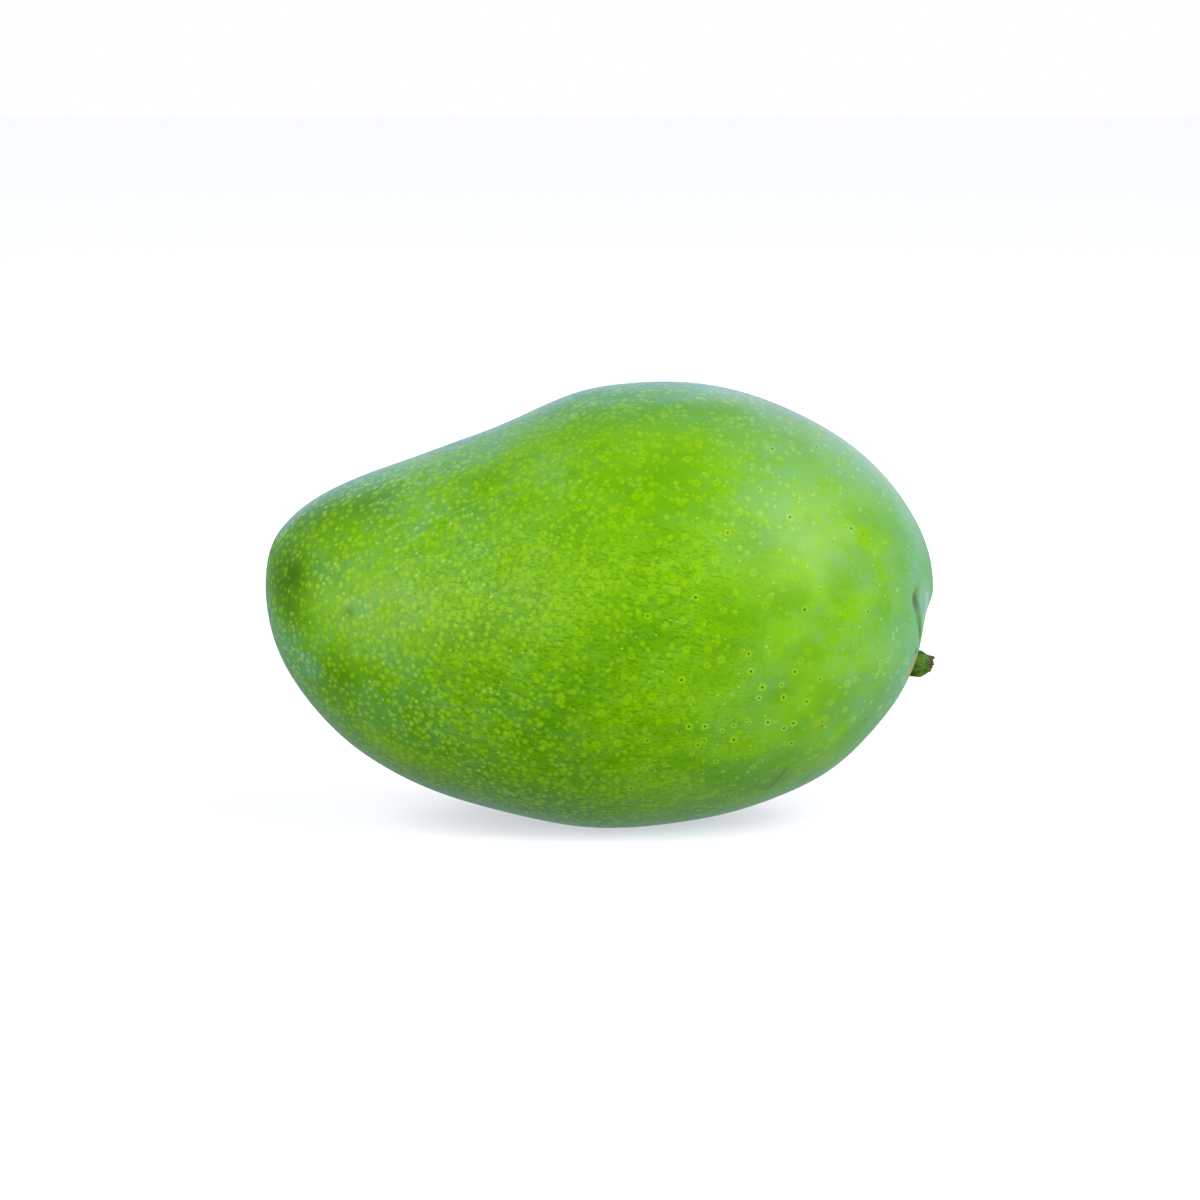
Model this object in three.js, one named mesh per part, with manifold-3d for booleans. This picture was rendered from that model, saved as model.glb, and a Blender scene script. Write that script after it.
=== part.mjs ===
// A green mango resting on its belly, with the broken stub of its stem. Millimetres, +Z up.
// +X runs along the fruit towards the stem, -Y faces the near cheek, and the origin is the
// middle of the small flat spot that the fruit rests on.
import * as THREE from "three";
import { mergeVertices } from "three/addons/utils/BufferGeometryUtils.js";
import Module from "manifold-3d";

const wasm = await Module();
wasm.setup();

// Driving dimensions of the fruit.
const LENGTH = 130; // from the tip to the stem end, without the stub
const MIDDLE_X = -3.1; // middle of the length: the belly's lowest place is nearer the stem
const REST_DEPTH = 0.6; // how deep the flat resting spot cuts into the round belly
const EGG = 0.05; // each section is this share wider at its foot and narrower at its crown
const CLEARANCE = 0.3; // between the stub's foot and the skin

// Sections across the fruit at equal angles round its outline, from the stem end to the tip.
// Half height and half width are those of a whole ellipsoid at that place: the sections
// themselves shrink to nothing at both ends. The hollow of the upper edge lies where the
// centres and half heights dip behind the tip.
const SECTIONS = [
  { centre: 47.3, halfHeight: 48.5, halfWidth: 37.0 },
  { centre: 45.3, halfHeight: 47.0, halfWidth: 37.5 },
  { centre: 44.5, halfHeight: 46.4, halfWidth: 38.3 },
  { centre: 44.4, halfHeight: 45.2, halfWidth: 38.6 },
  { centre: 43.0, halfHeight: 43.0, halfWidth: 38.0 },
  { centre: 40.3, halfHeight: 39.1, halfWidth: 36.0 },
  { centre: 41.7, halfHeight: 38.7, halfWidth: 34.5 },
  { centre: 45.2, halfHeight: 41.5, halfWidth: 35.0 },
  { centre: 47.9, halfHeight: 48.5, halfWidth: 37.0 },
];

// Swellings of the skin: where, how far out (a pit if negative) and how far they reach.
const SWELLINGS = [
  { at: [60, 8, 45.5], height: 0.75, reach: 8 }, // far shoulder
  { at: [58.5, 1.8, 31], height: -1.1, reach: 3.4 }, // pit that the stub stands in
];

// Furrows in the skin: the route over it, the depths along the route and the half width.
const FURROWS = [
  {
    // valley from under the stub up between the two shoulders
    route: [[55.5, 1, 23.5], [58.5, 0.8, 30], [60.5, 0.2, 35.5], [61.3, -1, 40.5], [61.6, -1.8, 46]],
    depths: [0.2, 1.6, 2.2, 1.9, 0],
    halfWidth: 4.5,
  },
  {
    // narrow crease in the near shoulder
    route: [[59, -9.6, 49.5], [58.6, -11, 46], [58.8, -10.2, 43], [59.3, -8.6, 39], [59.3, -7, 35]],
    depths: [0, 1.2, 1, 0.4, 0],
    halfWidth: 1.25,
  },
];
const ROUTE_SAMPLES = 60;

// Mesh of the skin: rings round the stub, close together near it, crossed by meridians that
// crowd together on the side where the crease is.
const MERIDIANS = 76;
const CROWDING = 0.45;
const CROWDED_SIDE = 2.2; // radians from +Y towards +Z
const FINE_STEP = 0.0165; // radians between rings near the stub
const FINE_REACH = 0.3; // how far the close rings go
const COARSE_STEP = 0.1;
const STEP_GROWTH = 1.15;

// The stub: where it stands, the way it points, and its radius along its length.
const STUB_FOOT = new THREE.Vector3(56.5, 1.5, 31);
const STUB_WAY = new THREE.Vector3(1, 0.06, -0.02).normalize();
const STUB_SIDES = 20;
const STUB_RINGS = [
  { along: -2, radius: 2.3 },
  { along: 0, radius: 2.4 },
  { along: 1.2, radius: 2.5 },
  { along: 2.4, radius: 2.55 },
  { along: 3.4, radius: 2.55 },
  { along: 4, radius: 2.45 },
  { along: 4.6, radius: 2.15 },
  { along: 5.1, radius: 1.85 },
  { along: 5.6, radius: 1.65 },
  { along: 6, radius: 1.5 },
];
const STUB_RIDGES = 5; // faint ridges along the stub
const STUB_RIDGE_HEIGHT = 0.05; // as a share of the radius
const STUB_TEAR = 0.35; // how far the torn end stands out of square
const STUB_TEETH = 3; // rough points round the torn end
const STUB_PITH_DEPTH = 0.45; // hollow in the middle of the torn end

// A value that runs smoothly through equal steps of a list, level at both ends; place is 0 to 1.
function smoothThrough(values, place) {
  const last = values.length - 1;
  const at = (k) => values[k < 0 ? -k : k > last ? 2 * last - k : k];
  const i = Math.min(Math.floor(place * last), last - 1);
  const f = place * last - i;
  const [a, b, c, d] = [at(i - 1), at(i), at(i + 1), at(i + 2)];
  return b + 0.5 * f * (c - a + f * (2 * a - 5 * b + 4 * c - d + f * (3 * (b - c) + d - a)));
}

// The plain form, without swellings or furrows, in a direction from the fruit's middle.
function formPoint(way) {
  const place = Math.acos(THREE.MathUtils.clamp(way.x, -1, 1)) / Math.PI;
  const size = (name) => smoothThrough(SECTIONS.map((section) => section[name]), place);
  return new THREE.Vector3(
    MIDDLE_X + (LENGTH / 2) * way.x,
    size("halfWidth") * way.y * (1 - EGG * way.z),
    size("centre") + size("halfHeight") * way.z - REST_DEPTH,
  );
}

// One at the middle of a swelling or furrow, and nothing well outside its reach.
function fade(distance, reach) {
  return Math.exp(-((distance / reach) ** 2));
}

const swellings = SWELLINGS.map(({ at, height, reach }) => {
  return { centre: new THREE.Vector3(...at), height, reach };
});
const furrows = FURROWS.map(({ route, depths, halfWidth }) => {
  const curve = new THREE.CatmullRomCurve3(route.map((p) => new THREE.Vector3(...p)));
  return { samples: curve.getPoints(ROUTE_SAMPLES), depths, halfWidth };
});

// How far a furrow presses the skin in at a point.
function furrowDepth({ samples, depths, halfWidth }, point) {
  let nearest = 0;
  let distance = Infinity;
  samples.forEach((sample, k) => {
    const d = sample.distanceTo(point);
    if (d < distance) [distance, nearest] = [d, k];
  });
  return smoothThrough(depths, nearest / ROUTE_SAMPLES) * fade(distance, halfWidth);
}

// The finished skin in a direction from the fruit's middle, moved out by a margin.
function skinPoint(way, margin) {
  const point = formPoint(way);
  let out = margin;
  for (const { centre, height, reach } of swellings) {
    out += height * fade(centre.distanceTo(point), reach);
  }
  for (const furrow of furrows) out -= furrowDepth(furrow, point);
  return point.addScaledVector(way, out);
}

// A closed mesh from a first point over rings of points to a last point.
function loft(first, rings, last) {
  const sides = rings[0].length;
  const points = [first, ...rings.flat(), last];
  const index = [];
  const at = (ring, side) => 1 + ring * sides + (side % sides);
  const end = rings.length - 1;
  for (let side = 0; side < sides; side++) {
    index.push(0, at(0, side), at(0, side + 1));
    for (let ring = 0; ring < end; ring++) {
      const [a, b] = [at(ring, side), at(ring, side + 1)];
      const [c, d] = [at(ring + 1, side + 1), at(ring + 1, side)];
      index.push(a, d, c, a, c, b);
    }
    index.push(points.length - 1, at(end, side + 1), at(end, side));
  }
  return new THREE.BufferGeometry().setFromPoints(points).setIndex(index);
}

function ringAngles() {
  const angles = [];
  let step = FINE_STEP;
  for (let angle = FINE_STEP; angle < Math.PI - step / 2; angle += step) {
    angles.push(angle);
    if (angle > FINE_REACH) step = Math.min(step * STEP_GROWTH, COARSE_STEP);
  }
  return angles;
}

// Skin of the whole fruit, moved out by a margin, with its rings round the stub.
function skinGeometry(margin) {
  const [end] = SECTIONS;
  const pole = new THREE.Vector3(
    (STUB_FOOT.x - MIDDLE_X) / (LENGTH / 2),
    STUB_FOOT.y / end.halfWidth,
    (STUB_FOOT.z + REST_DEPTH - end.centre) / end.halfHeight,
  ).normalize();
  const turn = new THREE.Quaternion().setFromUnitVectors(new THREE.Vector3(1, 0, 0), pole);
  const skin = (polar, around) => {
    const [y, z] = [Math.cos(around), Math.sin(around)];
    const way = new THREE.Vector3(Math.cos(polar), Math.sin(polar) * y, Math.sin(polar) * z);
    return skinPoint(way.applyQuaternion(turn), margin);
  };
  const meridians = Array.from({ length: MERIDIANS }, (_, k) => {
    const even = (2 * Math.PI * k) / MERIDIANS;
    return even - CROWDING * Math.sin(even - CROWDED_SIDE);
  });
  const rings = ringAngles().map((polar) => meridians.map((around) => skin(polar, around)));
  return loft(skin(0, 0), rings, skin(Math.PI, 0));
}

function stubGeometry() {
  const side = new THREE.Vector3(0, 0, 1).cross(STUB_WAY).normalize();
  const up = STUB_WAY.clone().cross(side);
  const end = STUB_RINGS.length - 1;
  const point = (along, radius, around) =>
    STUB_FOOT.clone()
      .addScaledVector(STUB_WAY, along)
      .addScaledVector(up, radius * Math.cos(around))
      .addScaledVector(side, radius * Math.sin(around));
  const rings = STUB_RINGS.map(({ along, radius }, ring) =>
    Array.from({ length: STUB_SIDES }, (_, k) => {
      const around = (2 * Math.PI * k) / STUB_SIDES;
      const ridged = radius * (1 + STUB_RIDGE_HEIGHT * Math.cos(STUB_RIDGES * around));
      const tear = ring === end ? STUB_TEAR : 0;
      const rough = Math.cos(around) + 0.5 * Math.sin(STUB_TEETH * around);
      return point(along + tear * rough, ridged, around);
    }),
  );
  const foot = point(STUB_RINGS[0].along, 0, 0);
  const pith = point(STUB_RINGS[end].along - STUB_PITH_DEPTH, 0, 0);
  return loft(foot, rings, pith);
}

function toSolid(geometry) {
  const shape = geometry.clone();
  shape.deleteAttribute("normal");
  shape.deleteAttribute("uv");
  const merged = mergeVertices(shape);
  const mesh = new wasm.Mesh({
    numProp: 3,
    vertProperties: merged.attributes.position.array,
    triVerts: new Uint32Array(merged.index.array),
  });
  return new wasm.Manifold(mesh);
}

function toGeometry(solid) {
  const { vertProperties, triVerts } = solid.getMesh();
  const geometry = new THREE.BufferGeometry();
  geometry.setAttribute("position", new THREE.BufferAttribute(vertProperties, 3));
  geometry.setIndex(new THREE.BufferAttribute(triVerts, 1));
  geometry.computeVertexNormals();
  return geometry;
}

// The fruit, moved out by a margin and cut level where it rests.
function fruitSolid(margin) {
  const below = new THREE.BoxGeometry(LENGTH, LENGTH, LENGTH).translate(0, 0, -LENGTH / 2);
  return toSolid(skinGeometry(margin)).subtract(toSolid(below));
}

function part(name, solid, color, roughness) {
  const material = new THREE.MeshStandardMaterial({ color, roughness, metalness: 0 });
  const mesh = new THREE.Mesh(toGeometry(solid), material);
  mesh.name = name;
  return mesh;
}

const fruit = fruitSolid(0);
const stub = toSolid(stubGeometry()).subtract(fruitSolid(CLEARANCE));

const mango = new THREE.Group();
mango.add(part("fruit", fruit, 0x72b01c, 0.4));
mango.add(part("stem_stub", stub, 0x54722b, 0.8));

export default mango;
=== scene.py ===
# A green mango on a pale floor. The shapes are worked out in millimetres and the objects are in
# metres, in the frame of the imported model: +X towards the stem, -Y out of the near cheek, +Z up.
import math
from functools import cached_property
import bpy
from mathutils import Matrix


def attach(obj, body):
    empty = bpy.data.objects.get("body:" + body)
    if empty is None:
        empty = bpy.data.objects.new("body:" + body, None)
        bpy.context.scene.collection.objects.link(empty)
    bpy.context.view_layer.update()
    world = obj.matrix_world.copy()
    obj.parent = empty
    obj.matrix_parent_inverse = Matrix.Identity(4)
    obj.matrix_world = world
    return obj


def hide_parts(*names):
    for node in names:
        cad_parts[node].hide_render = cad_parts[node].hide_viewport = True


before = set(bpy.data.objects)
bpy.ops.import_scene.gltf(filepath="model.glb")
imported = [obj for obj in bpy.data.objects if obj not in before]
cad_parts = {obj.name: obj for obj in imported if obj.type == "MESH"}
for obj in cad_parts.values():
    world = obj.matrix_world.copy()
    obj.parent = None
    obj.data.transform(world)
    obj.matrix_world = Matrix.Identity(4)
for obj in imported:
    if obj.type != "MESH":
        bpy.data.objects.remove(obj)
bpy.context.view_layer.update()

from types import SimpleNamespace

import bpy
import numpy as np
from mathutils import Vector

MM = 0.001
SEED = 7

# ---------------------------------------------------------------------------------------------
# Driving dimensions of the fruit, as in its solid model but for the waves and a sharper crease
# ---------------------------------------------------------------------------------------------

LENGTH = 130.0  # without the stub
MIDDLE_X = -3.1
REST_DEPTH = 0.6  # how much the flat spot cuts off the belly
EGG = 0.05  # share by which the sections narrow towards the top and widen towards the belly

# Centre height, half height and half width of the sections, at equal steps of the angle from the
# stem end to the tip.
SECTIONS = [
    (47.3, 48.5, 37.0),
    (45.3, 47.0, 37.5),
    (44.5, 46.4, 38.3),
    (44.4, 45.2, 38.6),
    (43.0, 43.0, 38.0),
    (40.3, 39.1, 36.0),
    (41.7, 38.7, 34.5),
    (45.2, 41.5, 35.0),
    (47.9, 48.5, 37.0),
]

# Swellings, or pits if negative: place, height and reach. They are the far shoulder and the pit that
# the stub stands in.
SWELLINGS = [
    ((60, 8, 45.5), 0.75, 8.0),
    ((58.5, 1.8, 31), -1.1, 3.4),
]

# The valley from under the stub up between the two shoulders, and the narrow crease in the near
# shoulder: their routes, and the depth at each point of a route.
VALLEY_ROUTE = [(55.5, 1, 23.5), (58.5, 0.8, 30), (60.5, 0.2, 35.5), (61.3, -1, 40.5), (61.6, -1.8, 46)]
VALLEY_DEPTHS = [0.2, 1.6, 2.2, 1.9, 0]
VALLEY_HALF_WIDTH = 4.5

CREASE_ROUTE = [(59, -9.6, 49.5), (58.6, -11, 46), (58.8, -10.2, 43), (59.3, -8.6, 39), (59.3, -7, 35)]
CREASE_DEPTHS = [0, 1.2, 1.0, 0.4, 0]
CREASE_STEEP_SIDE = 0.55  # half width on the side of the near cheek, which stands over the crease
CREASE_GENTLE_SIDE = 1.5  # half width on the side of the stem

ROUTE_STEPS = 120
ROUTE_REACH = 30.8  # how far from the middle of a route the skin is looked at

# The brown scar, darkened with painted shade of its gap, and the dark painted shade in the crease:
# where along the route each starts, is full, starts to end and has ended, and how its edge runs
# across, in half widths.
SCAR_AND_GAP_SHADE_ALONG = (0.0, 0.3, 0.34, 0.58)
SCAR_AND_GAP_SHADE_EDGE = (0.3, 1.2)
SHADE_ALONG = (0.3, 0.5, 0.8, 0.98)
SHADE_EDGE = (0.2, 1.2)
SCAR_MIDDLE = -0.05  # how far beside the route
SCAR_HALF_WIDTH = 0.7

# Long soft waves in the skin, which break up its reflections.
WAVE_COUNT = 7
WAVE_HEIGHT = 0.09
WAVE_LENGTHS = (22.0, 48.0)

# Mesh of the skin: meridians, which crowd on the side of the crease, and rings round the stub's
# foot, whose steps are fine up to a reach and then grow to coarse ones. Angles are in radians.
MERIDIANS = 400
CROWDING = 0.45
CROWDED_SIDE = 2.2
FINE_STEP = 0.006
FINE_REACH = 0.34
COARSE_STEP = 0.021
STEP_GROWTH = 1.06

# The stub of the stem: its foot, its way, and its radius at places along it.
STUB_FOOT = np.array([56.5, 1.5, 31.0])
STUB_LEAN = np.array([1.0, 0.06, -0.02])
STUB_WAY = STUB_LEAN / np.linalg.norm(STUB_LEAN)
STUB_RADII = [
    (-2.0, 2.3),
    (0.0, 2.4),
    (1.2, 2.5),
    (2.4, 2.55),
    (3.4, 2.55),
    (4.0, 2.45),
    (4.6, 2.15),
    (5.1, 1.85),
    (5.6, 1.65),
    (6.0, 1.5),
]
STUB_SIDES = 96
STUB_STEPS = 60

# Ridges, fibres and a slow waver on the stub's side, with heights as shares of its radius.
RIDGES = 5
RIDGE_HEIGHT = 0.05
FIBRES = 23
FIBRE_HEIGHT = 0.012
FIBRE_BUNCHES = 3
FIBRE_BUNCHING = 2  # in radians
WAVER_HEIGHT = 0.03
WAVER_LOBES = 2
WAVER_TURN = 2.1  # radians for each millimetre along the stub

# The torn end of the stub, and the rings that close it over its sunk pith, as shares of its radius.
TEAR_LENGTH = 1.2
TEAR_HEIGHT = 0.35
TEETH = 3
TOOTH_HEIGHT = 0.5  # as a share of the tear's height
SPLINTER_HEIGHT = 0.14
PITH_DEPTH = 0.45
PITH_RINGS = (0.86, 0.66, 0.42, 0.2)
PITH_GRAIN = 0.08


# ---------------------------------------------------------------------------------------------
# Shapes
# ---------------------------------------------------------------------------------------------


def curve(a, b, c, d, f):
    """The smooth curve from b to c, with a before and d after them, at the share f of the way."""
    return b + 0.5 * f * (c - a + f * (2 * a - 5 * b + 4 * c - d + f * (3 * (b - c) + d - a)))


def smooth_through(values, place):
    """A value that runs smoothly through equal steps of a list, level at both ends."""
    values = np.asarray(values, float)
    last = len(values) - 1
    t = np.clip(place, 0, 1) * last
    i = np.minimum(t.astype(int), last - 1)
    f = t - i

    def at(k):
        return values[np.where(k < 0, -k, np.where(k > last, 2 * last - k, k))]

    return curve(at(i - 1), at(i), at(i + 1), at(i + 2), f)


def form_points(ways):
    """The plain form in directions from the fruit's middle."""
    place = np.arccos(np.clip(ways[:, 0], -1, 1)) / np.pi
    centre, half_height, half_width = (smooth_through(c, place) for c in zip(*SECTIONS))
    x = MIDDLE_X + LENGTH / 2 * ways[:, 0]
    y = half_width * ways[:, 1] * (1 - EGG * ways[:, 2])
    z = centre + half_height * ways[:, 2] - REST_DEPTH
    return np.stack([x, y, z], 1)


def fade(distance, reach):
    """A bell: one at no distance, and nearly nothing at twice the reach."""
    return np.exp(-((distance / reach) ** 2))


def smoothstep(value, low, high):
    t = np.clip((value - low) / (high - low), 0, 1)
    return t * t * (3 - 2 * t)


def between(value, start, full, fall, end):
    """Rises from nothing at start to one at full, and falls again from fall to end."""
    return smoothstep(value, start, full) * (1 - smoothstep(value, fall, end))


def route_samples(route):
    """Points along a smooth curve through the route's points."""
    knots = np.array(route, float)
    last = len(knots) - 1
    knots = np.vstack([2 * knots[0] - knots[1], knots, 2 * knots[-1] - knots[-2]])
    t = np.linspace(0, 1, ROUTE_STEPS + 1) * last
    i = np.minimum(t.astype(int), last - 1)
    return curve(knots[i], knots[i + 1], knots[i + 2], knots[i + 3], (t - i)[:, None])


def along_route(points, ways, route):
    """For the points near a route: their indices, how far along it they are, and how far beside."""
    samples = route_samples(route)
    near = np.where(np.linalg.norm(points - samples.mean(0), axis=1) < ROUTE_REACH)[0]
    gaps = np.linalg.norm(points[near, None] - samples[None], axis=2)
    nearest = gaps.argmin(1)
    tangents = np.gradient(samples, axis=0)
    tangents /= np.linalg.norm(tangents, axis=1)[:, None]
    aside = np.cross(tangents[nearest], ways[near])
    offset = points[near] - samples[nearest]
    side = np.sign((offset * aside).sum(1))
    return near, nearest / (len(samples) - 1), side * gaps[np.arange(len(near)), nearest]


def waves(points):
    """The height of the long soft waves at points of the form."""
    height = np.zeros(len(points))
    random = np.random.default_rng(SEED)
    for _ in range(WAVE_COUNT):
        direction = random.normal(size=3)
        direction /= np.linalg.norm(direction)
        length = random.uniform(*WAVE_LENGTHS)
        phase = random.uniform(0, 2 * np.pi)
        height += WAVE_HEIGHT * np.sin(2 * np.pi * (points @ direction) / length + phase)
    return height


def skin_points(ways):
    """The finished skin in directions from the fruit's middle, and how much of it is brown scar
    darkened with painted shade of the gap, and how much painted shade of the crease.
    """
    points = form_points(ways)
    out = waves(points)
    for place, height, reach in SWELLINGS:
        out += height * fade(np.linalg.norm(points - np.array(place), axis=1), reach)

    near, along, beside = along_route(points, ways, VALLEY_ROUTE)
    out[near] -= smooth_through(VALLEY_DEPTHS, along) * fade(beside, VALLEY_HALF_WIDTH)

    near, along, beside = along_route(points, ways, CREASE_ROUTE)
    half_width = np.where(beside > 0, CREASE_GENTLE_SIDE, CREASE_STEEP_SIDE)
    out[near] -= smooth_through(CREASE_DEPTHS, along) * fade(beside, half_width)
    across = np.abs(beside - SCAR_MIDDLE) / SCAR_HALF_WIDTH
    scar_and_gap_shade, shade = np.zeros((2, len(points)))
    scar_and_gap_shade[near] = between(along, *SCAR_AND_GAP_SHADE_ALONG) * (1 - smoothstep(across, *SCAR_AND_GAP_SHADE_EDGE))
    shade[near] = between(along, *SHADE_ALONG) * (1 - smoothstep(across, *SHADE_EDGE))

    points = points + ways * out[:, None]
    points[:, 2] = np.maximum(points[:, 2], 0)
    return points, scar_and_gap_shade, shade


def ring_angles():
    """The angles of the skin's rings from the way to the stub's foot."""
    angles = []
    step = angle = FINE_STEP
    while angle < math.pi - step / 2:
        angles.append(angle)
        if angle > FINE_REACH:
            step = min(step * STEP_GROWTH, COARSE_STEP)
        angle += step
    return np.array(angles)


def turned_to_stub(ways):
    """Turns directions about the X axis into directions about the stub's foot."""
    centre, half_height, half_width = SECTIONS[0]
    pole = np.array([
        (STUB_FOOT[0] - MIDDLE_X) / (LENGTH / 2),
        STUB_FOOT[1] / half_width,
        (STUB_FOOT[2] + REST_DEPTH - centre) / half_height,
    ])
    turn = Vector((1, 0, 0)).rotation_difference(Vector(pole)).to_matrix()
    return ways @ np.array(turn).T


def lofted(name, first, rings, last):
    """A closed mesh object from a first point over rings of points to a last point, in metres."""
    count, sides = rings.shape[:2]
    points = np.vstack([first, rings.reshape(-1, 3), last]) * MM
    number = 1 + np.arange(count * sides).reshape(count, sides)
    following = np.roll(number, -1, axis=1)
    quads = np.stack([number[:-1], number[1:], following[1:], following[:-1]], -1).reshape(-1, 4)
    end = len(points) - 1
    caps = [(0, a, b) for a, b in zip(number[0], following[0])]
    caps += [(end, b, a) for a, b in zip(number[-1], following[-1])]
    mesh = bpy.data.meshes.new(name)
    mesh.from_pydata(points.tolist(), [], quads.tolist() + [tuple(map(int, c)) for c in caps])
    mesh.polygons.foreach_set("use_smooth", [True] * len(mesh.polygons))
    mesh.update()
    piece = bpy.data.objects.new(name, mesh)
    bpy.context.scene.collection.objects.link(piece)
    return piece


def add_value(piece, name, values):
    """Stores one number for each vertex, for the materials to read."""
    attribute = piece.data.attributes.new(name, "FLOAT", "POINT")
    attribute.data.foreach_set("value", np.asarray(values, np.float32))


def make_fruit():
    even = 2 * np.pi * np.arange(MERIDIANS) / MERIDIANS
    around = even - CROWDING * np.sin(even - CROWDED_SIDE)
    polar, around = np.meshgrid(ring_angles(), around, indexing="ij")
    ways = np.stack([np.cos(polar), np.sin(polar) * np.cos(around), np.sin(polar) * np.sin(around)], -1)
    shape = ways.shape
    ways = np.vstack([[(1, 0, 0)], ways.reshape(-1, 3), [(-1, 0, 0)]])
    points, scar_and_gap_shade, shade = skin_points(turned_to_stub(ways))
    fruit = lofted("mango_skin", points[0], points[1:-1].reshape(shape), points[-1])
    add_value(fruit, "scar_and_gap_shade", scar_and_gap_shade)
    add_value(fruit, "shade", shade)
    return fruit


def make_stub():
    side = np.cross([0, 0, 1], STUB_WAY)
    side /= np.linalg.norm(side)
    up = np.cross(STUB_WAY, side)
    random = np.random.default_rng(SEED)
    around = 2 * np.pi * np.arange(STUB_SIDES) / STUB_SIDES
    ridges = 1 + RIDGE_HEIGHT * np.cos(RIDGES * around)
    fibres = FIBRE_HEIGHT * np.sin(FIBRES * around + FIBRE_BUNCHING * np.sin(FIBRE_BUNCHES * around))
    teeth = np.cos(around) + TOOTH_HEIGHT * np.sin(TEETH * around)
    torn = TEAR_HEIGHT * teeth + SPLINTER_HEIGHT * random.normal(size=STUB_SIDES)

    def ring(along, radius, shift):
        across = np.outer(np.cos(around), up) + np.outer(np.sin(around), side)
        return STUB_FOOT + np.outer(along + shift, STUB_WAY) + across * np.reshape(radius, (-1, 1))

    knots_along, knots_radius = zip(*STUB_RADII)
    start, end = knots_along[0], knots_along[-1]
    rings = []
    for along in np.linspace(start, end, STUB_STEPS):
        radius = np.interp(along, knots_along, knots_radius)
        tear = smoothstep(along, end - TEAR_LENGTH, end)
        waver = WAVER_HEIGHT * np.sin(WAVER_TURN * along + WAVER_LOBES * around)
        rings.append(ring(along, radius * (ridges + fibres + waver), tear * torn))
    for share in PITH_RINGS:
        sunk = PITH_DEPTH * (1 - share**2)
        grain = PITH_GRAIN * random.normal(size=STUB_SIDES)
        rings.append(ring(end - sunk, share * knots_radius[-1] * ridges, share * torn + grain))
    foot = STUB_FOOT + start * STUB_WAY
    pith = STUB_FOOT + (end - PITH_DEPTH) * STUB_WAY
    return lofted("stem_stub_bark", foot, np.array(rings), pith)


# ---------------------------------------------------------------------------------------------
# Materials
# ---------------------------------------------------------------------------------------------


def srgb(red, green, blue):
    """A colour given as 0 to 255 screen values, as the linear colour that the nodes take."""
    def linear(value):
        c = value / 255
        return c / 12.92 if c <= 0.04045 else ((c + 0.055) / 1.055) ** 2.4
    return (linear(red), linear(green), linear(blue), 1.0)


# The mix node's sockets for colours.
MIX_SHARE, MIX_A, MIX_B, MIX_RESULT = 0, 6, 7, 2


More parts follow.
